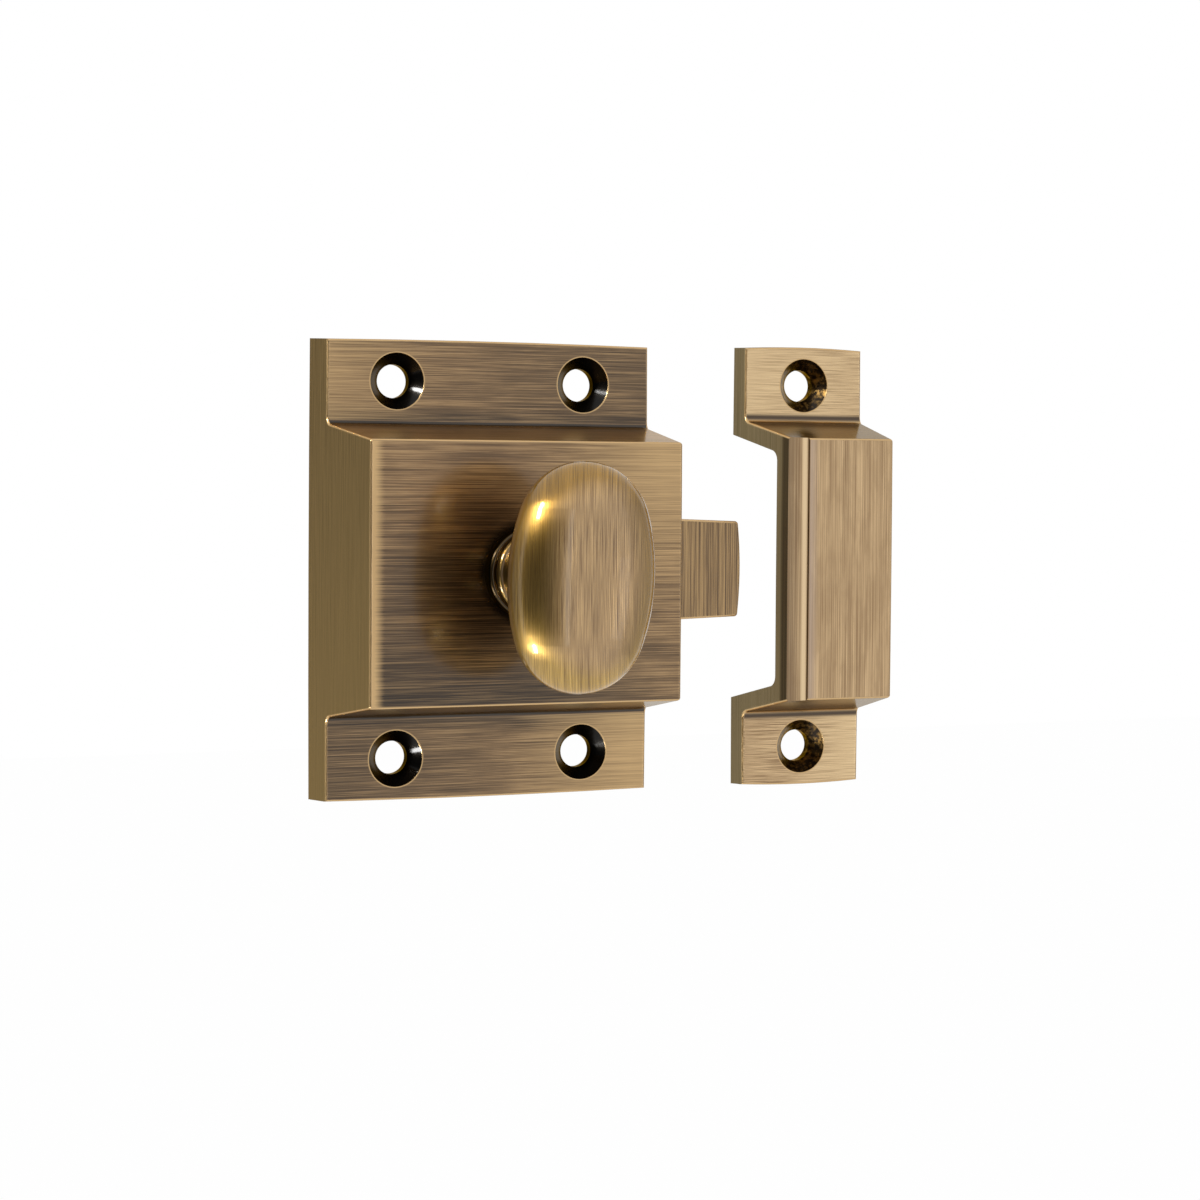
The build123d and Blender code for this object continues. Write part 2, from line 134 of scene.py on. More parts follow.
# The countersunk plates, from the front to the back of what the screws hold
CASE_PLATE = (-6.1 * MM, -2.95 * MM)
KEEPER_PLATE = (-3.3 * MM, -0.05 * MM)

# Each lamp's azimuth and elevation in degrees, its distance and size in metres, and its power in watts
LAMPS = (
    ("upper_left_box", -77, 31, 0.3, (0.036, 0.05), 0.46),
    ("lower_left_box", -79, -32, 0.3, (0.03, 0.06), 0.33),
    ("front_strip", -18, 0, 0.9, (0.1, 0.9), 0.3),
    ("right_strip", 48, -9, 0.9, (0.24, 0.42), 0.15),
)
FLOOR_SIDE = 12
FLOOR_WHITE_SHARE = 0.97  # of the floor's look, and the rest is matt and takes the shadow
BACKDROP_STRENGTH = 0.9


def linear(hex_colour):
    """An sRGB hex colour as linear red, green, blue and alpha."""
    channels = [int(hex_colour[i : i + 2], 16) / 255 for i in (1, 3, 5)]
    return tuple(c / 12.92 if c <= 0.04045 else ((c + 0.055) / 1.055) ** 2.4 for c in channels) + (1.0,)


def add(tree, kind, inputs=(), out=0, **settings):
    """Adds a node, sets its properties, fills or links its inputs, and returns one of its outputs."""
    made = tree.nodes.new(kind)
    for name, value in settings.items():
        setattr(made, name, value)
    filled = inputs.items() if isinstance(inputs, dict) else enumerate(inputs)
    for name, value in filled:
        if isinstance(value, bpy.types.NodeSocket):
            tree.links.new(value, made.inputs[name])
        else:
            made.inputs[name].default_value = value
    return made.outputs[out] if made.outputs else None


BRASS_EDGE_TINT = linear("#EFD3A2")
# Settings for add: a Mix node that mixes two colours, and a Map Range node that eases between its ends
COLOURS = {"out": 2, "data_type": "RGBA"}
EASED = {"interpolation_type": "SMOOTHSTEP"}


class LatchFinishSettings(bpy.types.PropertyGroup):
    """Colours and brushing of the brass."""

    # Its colour also paints the shade round the knob's neck on the case front
    patina_and_shade: bpy.props.FloatVectorProperty(
        name="Patina",
        description="Blackened brass that the brush didn't reach",
        subtype="COLOR",
        size=4,
        min=0,
        max=1,
        default=linear("#2E2318"),
    )
    case_dark: bpy.props.FloatVectorProperty(
        name="Case dark",
        description="The darkest brush lines on the case",
        subtype="COLOR",
        size=4,
        min=0,
        max=1,
        default=linear("#6E5436"),
    )
    case_light: bpy.props.FloatVectorProperty(
        name="Case light",
        description="The brightest brush lines on the case",
        subtype="COLOR",
        size=4,
        min=0,
        max=1,
        default=linear("#B89468"),
    )
    keeper_dark: bpy.props.FloatVectorProperty(
        name="Keeper dark",
        description="The darkest brush lines on the keeper",
        subtype="COLOR",
        size=4,
        min=0,
        max=1,
        default=linear("#8E6E48"),
    )
    keeper_light: bpy.props.FloatVectorProperty(
        name="Keeper light",
        description="The brightest brush lines on the keeper",
        subtype="COLOR",
        size=4,
        min=0,
        max=1,
        default=linear("#E4C292"),
    )
    side_olive: bpy.props.FloatVectorProperty(
        name="Side faces",
        description="The greener brass of the faces at the left and right",
        subtype="COLOR",
        size=4,
        min=0,
        max=1,
        default=linear("#C0A26C"),
    )
    # Also the colour of the painted highlight along the case front's left edge
    relief_and_highlight: bpy.props.FloatVectorProperty(
        name="Relieved edges",
        description="Bare brass where polishing cut through the patina",
        subtype="COLOR",
        size=4,
        min=0,
        max=1,
        default=linear("#D4B07A"),
    )
    # Also the black of the painted shade round the neck bush, on the case front and on the bush's sides
    countersink_black: bpy.props.FloatVectorProperty(
        name="Countersinks",
        description="Untouched black patina in the screw holes",
        subtype="COLOR",
        size=4,
        min=0,
        max=1,
        default=linear("#14110D"),
    )
    line_width: bpy.props.FloatProperty(
        name="Brush line",
        description="Width of one brush line",
        subtype="DISTANCE",
        unit="LENGTH",
        min=0.00005,
        max=0.001,
        default=0.1 * MM,
    )
    line_length: bpy.props.FloatProperty(
        name="Brush line length",
        description="How far one brush line runs",
        subtype="DISTANCE",
        unit="LENGTH",
        min=0.001,
        max=0.1,
        default=14 * MM,
    )
    lacquer_roughness: bpy.props.FloatProperty(
        name="Lacquer roughness",
        description="Roughness of the knob's thick gloss lacquer",
        subtype="FACTOR",
        min=0,
        max=1,
        default=0.07,
    )
    thin_lacquer_roughness: bpy.props.FloatProperty(
        name="Thin lacquer roughness",
        description="Roughness of the lacquer on brushed faces, where the lines show through",
        subtype="FACTOR",
        min=0,
        max=1,
        default=0.14,
    )


class LatchSpringSettings(bpy.types.PropertyGroup):
    """Sizes of the coil spring behind the bolt."""

    wire_radius: bpy.props.FloatProperty(
        name="Wire radius",
        description="Half the spring wire's thickness",
        subtype="DISTANCE",
        unit="LENGTH",
        min=0.0001,
        max=0.001,
        default=0.3 * MM,
    )
    turns: bpy.props.IntProperty(name="Turns", description="Turns of the coil", min=2, max=20, default=5)


class LatchStageSettings(bpy.types.PropertyGroup):
    """The camera, the lamps and the floor."""

    yaw: bpy.props.FloatProperty(
        name="Yaw",
        description="How far the camera looks to the right of the latch's own front view",
        subtype="ANGLE",
        unit="ROTATION",
        default=0.4416,
    )
    pitch: bpy.props.FloatProperty(
        name="Pitch",
        description="How far the camera looks down",
        subtype="ANGLE",
        unit="ROTATION",
        default=0.03595,
    )
    roll: bpy.props.FloatProperty(
        name="Roll",
        description="How far the camera is turned about its own axis",
        subtype="ANGLE",
        unit="ROTATION",
        default=0.00768,
    )
    distance: bpy.props.FloatProperty(
        name="Distance",
        description="From the camera to the point that it looks at",
        subtype="DISTANCE",
        unit="LENGTH",
        default=426 * MM,
    )
    target: bpy.props.FloatVectorProperty(
        name="Target",
        description="The point that the camera's axis meets",
        subtype="TRANSLATION",
        unit="LENGTH",
        default=(30 * MM, 0, -1.46 * MM),
    )
    focal_pixels: bpy.props.FloatProperty(
        name="Focal length", description="In pixels of the photograph", default=2870.0
    )
    axis_pixels: bpy.props.FloatVectorProperty(
        name="Axis pixel",
        description="Where the camera's axis meets the photograph, in its pixels",
        size=2,
        default=(663.3, 576.5),
    )
    floor_drop: bpy.props.FloatProperty(
        name="Floor drop",
        description="From the latch's lowest point down to the floor",
        subtype="DISTANCE",
        unit="LENGTH",
        default=0.6,
    )


def new_material(name):
    """An empty node material and its tree."""
    material = bpy.data.materials.new(name)
    material.use_nodes = True
    material.node_tree.nodes.clear()
    return material, material.node_tree


def dress(node_name, material):
    """Gives a CAD node its finish."""
    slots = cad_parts[node_name].data.materials
    slots.clear()
    slots.append(material)


def brush_lines(tree, place, along, width, length, shift, through=""):
    """Fine parallel lines along one axis, as a value about one half. Through another they stay unchanged."""
    scale = [0 if axis in through else 1 / width for axis in "XYZ"]
    scale["XYZ".index(along)] = 1 / length
    stretched = add(
        tree, "ShaderNodeMapping", {"Vector": place, "Location": (shift, shift, shift), "Scale": scale}
    )
    return add(
        tree, "ShaderNodeTexNoise", {"Vector": stretched, "Scale": 1.0, "Detail": 3.0, "Roughness": 0.62}
    )


def window(tree, value, start, end, soft):
    """One between start and end, with soft borders."""
    rises = add(tree, "ShaderNodeMapRange", (value, start - soft, start + soft), **EASED)
    falls = add(tree, "ShaderNodeMapRange", (value, end - soft, end + soft, 1.0, 0.0), **EASED)
    return add(tree, "ShaderNodeMath", (rises, falls), operation="MULTIPLY")


def brass_parts(tree):
    """What lacquered finishes read: the place, its three numbers, the normal's three and their sizes."""
    place = add(tree, "ShaderNodeTexCoord", out="Object")
    spots = add(tree, "ShaderNodeSeparateXYZ", (place,)).node.outputs
    leans = add(tree, "ShaderNodeSeparateXYZ", (place.node.outputs["Normal"],)).node.outputs
    sizes = [add(tree, "ShaderNodeMath", (lean,), operation="ABSOLUTE") for lean in leans]
    return place, spots, leans, sizes


def relief_mask(tree, sizes):
    """One on rounded edges, where the normal points along none of the axes."""
    pair = add(tree, "ShaderNodeMath", (sizes[0], sizes[1]), operation="MAXIMUM")
    biggest = add(tree, "ShaderNodeMath", (pair, sizes[2]), operation="MAXIMUM")
    return add(tree, "ShaderNodeMapRange", (biggest, 0.84, 0.965, 1.0, 0.0), **EASED)


def hole_distance(tree, spots, across, up):
    """How far a place is from the nearest screw's axis, for screws at plus and minus across and up."""
    aside = add(tree, "ShaderNodeMath", (spots[0], across[0]), operation="SUBTRACT")
    aside = add(tree, "ShaderNodeMath", (aside,), operation="ABSOLUTE")
    aside = add(tree, "ShaderNodeMath", (aside, across[1]), operation="SUBTRACT")
    above = add(tree, "ShaderNodeMath", (spots[2],), operation="ABSOLUTE")
    above = add(tree, "ShaderNodeMath", (above, up), operation="SUBTRACT")
    flat = add(tree, "ShaderNodeCombineXYZ", (aside, above, 0.0))
    return add(tree, "ShaderNodeVectorMath", (flat,), out=1, operation="LENGTH")


def lacquered(tree, colour, lines, roughness, gloss, coat=1.0, spread=0.0):
    """Brushed metal under a clear lacquer, thin in places. Its brushing may spread the highlights."""
    bump = add(tree, "ShaderNodeBump", {"Height": lines, "Strength": 0.35, "Distance": BRUSH_DEPTH})
    rough = add(tree, "ShaderNodeMapRange", (lines, 0.3, 0.7, roughness + 0.06, roughness - 0.06), **EASED)
    surface = add(
        tree,
        "ShaderNodeBsdfPrincipled",
        {
            "Base Color": colour,
            "Metallic": 1.0,
            "Roughness": rough,
            "Normal": bump,
            "Anisotropic": spread,
            "Specular Tint": BRASS_EDGE_TINT,
            "Coat Weight": coat,
            "Coat Roughness": gloss,
        },
    )
    add(tree, "ShaderNodeOutputMaterial", {"Surface": surface})


def left_bare(tree, colour, lines, roughness, relief, depth):
    """Metal with no lacquer, whose lines are fine grooves."""
    bump = add(tree, "ShaderNodeBump", {"Height": lines, "Strength": relief, "Distance": depth})
    surface = add(
        tree,
        "ShaderNodeBsdfPrincipled",
        {"Base Color": colour, "Metallic": 1.0, "Roughness": roughness, "Normal": bump},
    )
    add(tree, "ShaderNodeOutputMaterial", {"Surface": surface})


def streaked(tree, amount, tone, share):
    """Breaks patina and painted shade up along the brush lines, or brighter brass and painted highlight if
    share is below zero.
    """
    raised = add(tree, "ShaderNodeMath", (amount, share / 2), operation="ADD")
    return add(tree, "ShaderNodeMath", (tone, -share, raised), operation="MULTIPLY_ADD", use_clamp=True)


def scaled(tree, factors):
    """The product of several masks."""
    product = factors[0]
    for factor in factors[1:]:
        product = add(tree, "ShaderNodeMath", (product, factor), operation="MULTIPLY")
    return product


def countersunk(tree, colour, sunk_colour, spots, depth, facing, across, up, settings):
    """Countersinks keep their patina inside a thin bright rim, and less lacquer reaches down the holes."""
    reach = hole_distance(tree, spots, across, up)
    rim = add(
        tree,
        "ShaderNodeMapRange",
        (reach, COUNTERSINK_RADIUS + 0.04 * MM, COUNTERSINK_RADIUS + 0.22 * MM, 1.0, 0.0),
        **EASED,
    )
    colour = add(
        tree, "ShaderNodeMix", {0: scaled(tree, (rim, facing)), 6: colour, 7: settings.relief_and_highlight}, **COLOURS
    )
    sunk = add(
        tree,
        "ShaderNodeMapRange",
        (reach, COUNTERSINK_RADIUS - 0.08 * MM, COUNTERSINK_RADIUS, 1.0, 0.0),
        **EASED,
    )
    sunk = scaled(tree, (sunk, window(tree, spots[1], depth[0], depth[1], 0.05 * MM)))
    down = add(tree, "ShaderNodeMapRange", (reach, HOLE_RADIUS, HOLE_RADIUS + 0.8 * MM, 0.0, 0.5), **EASED)
    coat = add(tree, "ShaderNodeMix", {0: sunk, 2: 1.0, 3: down})
    return add(tree, "ShaderNodeMix", {0: sunk, 6: colour, 7: sunk_colour}, **COLOURS), coat


def case_brass(settings):
    """Cast brass, blackened, brushed across and lacquered: brown streaks, bright edges, black screw holes."""
    material, tree = new_material("antique_brass_case")
    place, spots, leans, sizes = brass_parts(tree)
    fine = brush_lines(tree, place, "X", settings.line_width, settings.line_length, 3.0)
    bands = brush_lines(tree, place, "X", 3 * settings.line_width, 2 * settings.line_length, 11.0)
    across = add(tree, "ShaderNodeMix", {0: 0.3, 2: fine, 3: bands})
    upright = brush_lines(tree, place, "Z", settings.line_width, settings.line_length, 7.0)
    on_side = add(tree, "ShaderNodeMapRange", (sizes[0], *SIDE_TURN), **EASED)
    lines = add(tree, "ShaderNodeMix", {0: on_side, 2: across, 3: upright})
    tone = add(tree, "ShaderNodeMapRange", (lines, 0.35, 0.65), **EASED)
    colour = add(tree, "ShaderNodeMix", {0: tone, 6: settings.case_dark, 7: settings.case_light}, **COLOURS)
    facing = add(tree, "ShaderNodeMapRange", (leans[1], *FRONT_TURN, 1.0, 0.0), **EASED)
    above = add(tree, "ShaderNodeMath", (spots[2],), operation="ABSOLUTE")

    # Broad patches, drawn out along the lines
    patches = brush_lines(tree, place, "X", PATCH_WIDTH, CASE_PATCH_LENGTH, 6.0)
    patches = add(tree, "ShaderNodeMapRange", (patches, 0.4, 0.6, 0.0, 0.35), **EASED)
    colour = add(tree, "ShaderNodeMix", {0: patches, 6: colour, 7: settings.case_dark}, **COLOURS)

    # Patina the brush reached little of round the knob's neck, with painted shade there for the knob's shadow
    # and reflection; darker towards the bottom and the middle
    clouds = add(tree, "ShaderNodeTexNoise", {"Vector": place, "Scale": 1 / CLOUD_SIZE, "Detail": 2.0})
    reach = add(
        tree,
        "ShaderNodeMapping",
        {"Vector": place, "Location": (0.4, 0.0, 0.18), "Scale": (1 / (20 * MM), 0.0, 1 / (22.2 * MM))},
    )
    reach = add(tree, "ShaderNodeVectorMath", (reach,), out=1, operation="LENGTH")
    reach = add(tree, "ShaderNodeMath", (clouds, 0.4, reach), operation="MULTIPLY_ADD")
    front_patina_and_shade = add(tree, "ShaderNodeMapRange", (reach, 0.25, 1.4, 0.86, 0.0), **EASED)
    below = add(tree, "ShaderNodeMapRange", (spots[2], 10 * MM, -17 * MM, 0.0, 0.85))
    centred = add(tree, "ShaderNodeMapRange", (spots[0], 2 * MM, 22 * MM, 1.0, 0.25))
    front_patina_and_shade = add(
        tree, "ShaderNodeMath", (front_patina_and_shade, scaled(tree, (below, centred))), operation="MAXIMUM"
    )

    # On the flanges the patina is left at the upper right, at the lower left and along the hollows
    top = add(tree, "ShaderNodeMapRange", (spots[0], -CASE_SIDE, CASE_SIDE, 0.1, 0.55))
    bottom = add(tree, "ShaderNodeMapRange", (spots[0], -CASE_SIDE, CASE_SIDE, 0.6, 0.0))
    is_top = add(tree, "ShaderNodeMapRange", (spots[2], -1 * MM, 1 * MM), **EASED)
    flange_patina = add(tree, "ShaderNodeMix", {0: is_top, 2: bottom, 3: top})
    hollow = add(tree, "ShaderNodeMapRange", (above, STEP_UP, STEP_UP + 3.5 * MM, 0.75, 0.0), **EASED)
    flange_patina = add(tree, "ShaderNodeMath", (flange_patina, hollow), operation="MAXIMUM")
    is_front = add(tree, "ShaderNodeMapRange", (spots[1], *BOX_FRONT, 1.0, 0.0), **EASED)
    # The flanges' patina and, on the front, patina with painted shade round the knob
    patina_and_shade = add(tree, "ShaderNodeMix", {0: is_front, 2: flange_patina, 3: front_patina_and_shade})
    patina_and_shade = streaked(tree, patina_and_shade, tone, 0.3)
    colour = add(
        tree, "ShaderNodeMix", {0: scaled(tree, (patina_and_shade, facing)), 6: colour, 7: settings.patina_and_shade}, **COLOURS
    )

    # Painted highlight along the front's left edge; the brass is also brighter towards the front's upper
    # right, the upper flange's left end and the lower flange's right end
    front_highlight_and_brightening = add(tree, "ShaderNodeMapRange", (spots[0], -23.3 * MM, -20.8 * MM, 1.4, 0.0), **EASED)
    upper = add(tree, "ShaderNodeMapRange", (spots[2], -6 * MM, 14 * MM, 0.0, 0.7))
    right = add(tree, "ShaderNodeMapRange", (spots[0], 2 * MM, 20 * MM, 0.0, 1.0))
    front_highlight_and_brightening = add(tree, "ShaderNodeMath", (front_highlight_and_brightening, scaled(tree, (upper, right))), operation="MAXIMUM")
    top_brightening = add(tree, "ShaderNodeMapRange", (spots[0], -8 * MM, -CASE_SIDE, 0.0, 0.45))
    bottom_brightening = add(tree, "ShaderNodeMapRange", (spots[0], 2 * MM, 22 * MM, 0.0, 0.75))
    brightening = add(tree, "ShaderNodeMix", {0: is_top, 2: bottom_brightening, 3: top_brightening})
    brightening = add(tree, "ShaderNodeMix", {0: is_front, 2: brightening, 3: front_highlight_and_brightening})
    brightening = streaked(tree, brightening, tone, -0.4)
    colour = add(
        tree,
        "ShaderNodeMix",
        {0: scaled(tree, (brightening, facing)), 6: colour, 7: settings.relief_and_highlight},
        **COLOURS,
    )
    # Painted shade: a black ring on the front round the neck bush, for the bush's contact shadow and its
    # reflection
    ring = add(tree, "ShaderNodeVectorMath", (place, (1, 0, 1)), operation="MULTIPLY")
    ring = add(tree, "ShaderNodeVectorMath", (ring,), out=1, operation="LENGTH")
    ring = add(tree, "ShaderNodeMapRange", (ring, 6.6 * MM, 8.2 * MM, 1.0, 0.0), **EASED)
    colour = add(
        tree,
        "ShaderNodeMix",
        {0: scaled(tree, (ring, is_front)), 6: colour, 7: settings.countersink_black},
        **COLOURS,
    )

    side_tone = add(tree, "ShaderNodeMix", {0: tone, 6: linear("#8C7448"), 7: settings.side_olive}, **COLOURS)
    lower = add(tree, "ShaderNodeMapRange", (spots[2], 22 * MM, -30 * MM, 0.0, 0.5))
    side_tone = add(tree, "ShaderNodeMix", {0: lower, 6: side_tone, 7: linear("#D8B878")}, **COLOURS)
    colour = add(tree, "ShaderNodeMix", {0: on_side, 6: colour, 7: side_tone}, **COLOURS)
    # Painted shade: faces turned downwards are darkened to grey
    under = add(tree, "ShaderNodeMapRange", (leans[2], -0.95, -0.7, 0.75, 0.0), **EASED)
    colour = add(tree, "ShaderNodeMix", {0: under, 6: colour, 7: linear("#3A342C")}, **COLOURS)

    # Hollow corners at the steps keep their patina, and outer edges are polished bare
    edge = relief_mask(tree, sizes)
    low = add(tree, "ShaderNodeMapRange", (spots[1], *NEAR_FLANGES), **EASED)
    inner = add(
        tree, "ShaderNodeMapRange", (above, STEP_UP + 1.5 * MM, STEP_UP + 2.5 * MM, 1.0, 0.0), **EASED
    )
    upright = add(tree, "ShaderNodeMapRange", (sizes[0], 0.2, 0.4, 1.0, 0.0), **EASED)
    hollow = scaled(tree, (low, inner, upright))
    outer = add(tree, "ShaderNodeMath", (1.0, hollow), operation="SUBTRACT")
    colour = add(
        tree, "ShaderNodeMix", {0: scaled(tree, (outer, edge)), 6: colour, 7: settings.relief_and_highlight}, **COLOURS
    )
    colour = add(
        tree, "ShaderNodeMix", {0: scaled(tree, (hollow, edge)), 6: colour, 7: settings.patina_and_shade}, **COLOURS
    )
    colour, coat = countersunk(
        tree,
        colour,
        settings.countersink_black,
        spots,
        CASE_PLATE,
        facing,
        (0.0, CASE_SCREWS_ACROSS),
        CASE_SCREWS_UP,
        settings,
    )
    turned_away = add(tree, "ShaderNodeMapRange", (sizes[1], 0.4, 0.8, 0.5, 1.0), **EASED)
    coat = scaled(tree, (coat, turned_away))
    lacquered(tree, colour, lines, CASE_ROUGHNESS, settings.thin_lacquer_roughness, coat)
    return material


def keeper_brass(settings):
    """The same brass brushed brighter, up and down on the strap and across on the feet."""
    material, tree = new_material("antique_brass_keeper")
    place, spots, leans, sizes = brass_parts(tree)
    low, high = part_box("keeper")
    middle_x = (low.x + high.x) / 2
    across = brush_lines(tree, place, "X", settings.line_width, 0.6 * settings.line_length, 5.0)
    fine = brush_lines(tree, place, "Z", settings.line_width, 2 * settings.line_length, 9.0)
    bands = brush_lines(tree, place, "Z", 3 * settings.line_width, 4 * settings.line_length, 13.0)
    upright = add(tree, "ShaderNodeMix", {0: 0.3, 2: fine, 3: bands})
    on_side = add(tree, "ShaderNodeMapRange", (sizes[0], *SIDE_TURN), **EASED)
    facing = add(tree, "ShaderNodeMapRange", (leans[1], *FRONT_TURN, 1.0, 0.0), **EASED)
    on_strap = add(tree, "ShaderNodeMapRange", (spots[1], low.y + 2 * MM, low.y + 3 * MM, 1.0, 0.0), **EASED)
    lengthways = add(
        tree, "ShaderNodeMath", (on_side, scaled(tree, (on_strap, facing))), operation="MAXIMUM"
    )
    lines = add(tree, "ShaderNodeMix", {0: lengthways, 2: across, 3: upright})
    tone = add(tree, "ShaderNodeMapRange", (lines, *LINE_TONES), **EASED)
    colour = add(
        tree, "ShaderNodeMix", {0: tone, 6: settings.keeper_dark, 7: settings.keeper_light}, **COLOURS
    )

    # Broad soft patches, and feet polished brighter at their ends
    patches = brush_lines(tree, place, "Z", PATCH_WIDTH, KEEPER_PATCH_LENGTH, 6.0)
    worn = add(tree, "ShaderNodeMapRange", (patches, 0.42, 0.62, 0.0, 0.3), **EASED)
    colour = add(
        tree,
        "ShaderNodeMix",
        {0: scaled(tree, (worn, on_strap)), 6: colour, 7: settings.keeper_dark},
        **COLOURS,
    )
    is_top = add(tree, "ShaderNodeMapRange", (spots[2], -1 * MM, 1 * MM), **EASED)
    top_brightening = add(tree, "ShaderNodeMapRange", (spots[0], low.x, high.x, 0.8, 0.4))
    bottom_brightening = add(tree, "ShaderNodeMapRange", (spots[0], low.x, high.x, -0.35, 0.9), clamp=False)
    brightening = add(tree, "ShaderNodeMix", {0: is_top, 2: bottom_brightening, 3: top_brightening})
    brightening = streaked(tree, brightening, tone, -0.6)
    on_foot = add(tree, "ShaderNodeMath", (1.0, on_strap), operation="SUBTRACT")
    colour = add(
        tree,
        "ShaderNodeMix",
        {0: scaled(tree, (brightening, on_foot, facing)), 6: colour, 7: linear("#EACB9A")},
        **COLOURS,
    )

    # The step walls stay brown, and so do the hollows at their feet
    wall = add(tree, "ShaderNodeMapRange", (sizes[2], 0.6, 0.9), **EASED)
    colour = add(tree, "ShaderNodeMix", {0: wall, 6: colour, 7: linear("#4E3A20")}, **COLOURS)
    above = add(tree, "ShaderNodeMath", (spots[2],), operation="ABSOLUTE")
    hollow = window(tree, above, *KEEPER_HOLLOW, 0.3 * MM)
    behind = add(tree, "ShaderNodeMapRange", (spots[1], -4.4 * MM, -3.6 * MM), **EASED)
    not_back = add(tree, "ShaderNodeMapRange", (leans[1], 0.3, 0.6, 1.0, 0.0), **EASED)
    hollow = scaled(tree, (hollow, behind, not_back))

    # The lip has painted shade at its outer edge and a painted highlight at its inner one, where a dark line
    # ends it
    lip_end = middle_x - LIP_FROM_MIDDLE
    past = add(tree, "ShaderNodeMapRange", (spots[0], lip_end, lip_end + 0.2 * MM), **EASED)
    on_lip = add(tree, "ShaderNodeMath", (1.0, past), operation="SUBTRACT")
    # Painted shade on the lip's outer part, which turns away a little
    lip_shade = add(
        tree, "ShaderNodeMapRange", (spots[0], lip_end - LIP_WIDTH, lip_end - 0.9 * MM, 0.6, 0.1), **EASED
    )
    colour = add(
        tree,
        "ShaderNodeMix",
        {0: scaled(tree, (lip_shade, on_lip, on_strap, facing)), 6: colour, 7: settings.case_dark},
        **COLOURS,
    )
    # Painted highlight along the lip's inner edge
    lip_highlight = window(tree, spots[0], lip_end - 0.9 * MM, lip_end - 0.15 * MM, 0.25 * MM)
    colour = add(
        tree,
        "ShaderNodeMix",
        {0: scaled(tree, (lip_highlight, on_strap, facing)), 6: colour, 7: linear("#F0D2A4")},
        **COLOURS,
    )
    # A dark line at the lip's step: partly patina and partly painted shadow of the step
    corner = window(tree, spots[0], lip_end - 0.12 * MM, lip_end + 0.2 * MM, 0.12 * MM)
    colour = add(
        tree,
        "ShaderNodeMix",
        {0: scaled(tree, (corner, on_strap)), 6: colour, 7: linear("#A08058")},
        **COLOURS,
    )
    # Painted reflection of the lip, in pinkish grey, on the main face beside its step
    lip_reflection = add(
        tree, "ShaderNodeMapRange", (spots[0], lip_end + 0.2 * MM, lip_end + 1.8 * MM, 0.45, 0.0), **EASED
    )
    colour = add(
        tree,
        "ShaderNodeMix",
        {0: scaled(tree, (lip_reflection, past, on_strap, facing)), 6: colour, 7: linear("#C4B0A2")},
        **COLOURS,
    )

    foot_side = add(tree, "ShaderNodeMix", {0: tone, 6: linear("#AC986C"), 7: linear("#D6BE90")}, **COLOURS)
    strap_side = add(tree, "ShaderNodeMix", {0: tone, 6: linear("#5C4E36"), 7: linear("#7E6A46")}, **COLOURS)
    side = add(tree, "ShaderNodeMix", {0: on_strap, 6: foot_side, 7: strap_side}, **COLOURS)
    colour = add(tree, "ShaderNodeMix", {0: on_side, 6: colour, 7: side}, **COLOURS)
    edge = relief_mask(tree, sizes)
    colour = add(tree, "ShaderNodeMix", {0: edge, 6: colour, 7: settings.relief_and_highlight}, **COLOURS)
    off_side = add(tree, "ShaderNodeMapRange", (sizes[0], 0.2, 0.5, 1.0, 0.0), **EASED)
    colour = add(
        tree,
        "ShaderNodeMix",
        {0: scaled(tree, (hollow, off_side)), 6: colour, 7: linear("#4A3824")},
        **COLOURS,
    )

    # Gold shows through the brown patina in the countersinks
    specks = add(tree, "ShaderNodeTexNoise", {"Vector": place, "Scale": 1 / SPECK_SIZE, "Detail": 3.0})
    specks = add(tree, "ShaderNodeMapRange", (specks, 0.42, 0.72), **EASED)
    speckled = add(tree, "ShaderNodeMix", {0: specks, 6: linear("#2E2214"), 7: linear("#96743E")}, **COLOURS)
    colour, coat = countersunk(
        tree, colour, speckled, spots, KEEPER_PLATE, facing, (middle_x, 0.0), KEEPER_SCREWS_UP, settings
    )
    turned_away = add(tree, "ShaderNodeMapRange", (sizes[1], 0.4, 0.8, 0.5, 1.0), **EASED)
    coat = scaled(tree, (coat, turned_away))
    lacquered(tree, colour, lines, KEEPER_ROUGHNESS, settings.thin_lacquer_roughness, coat)
    return material


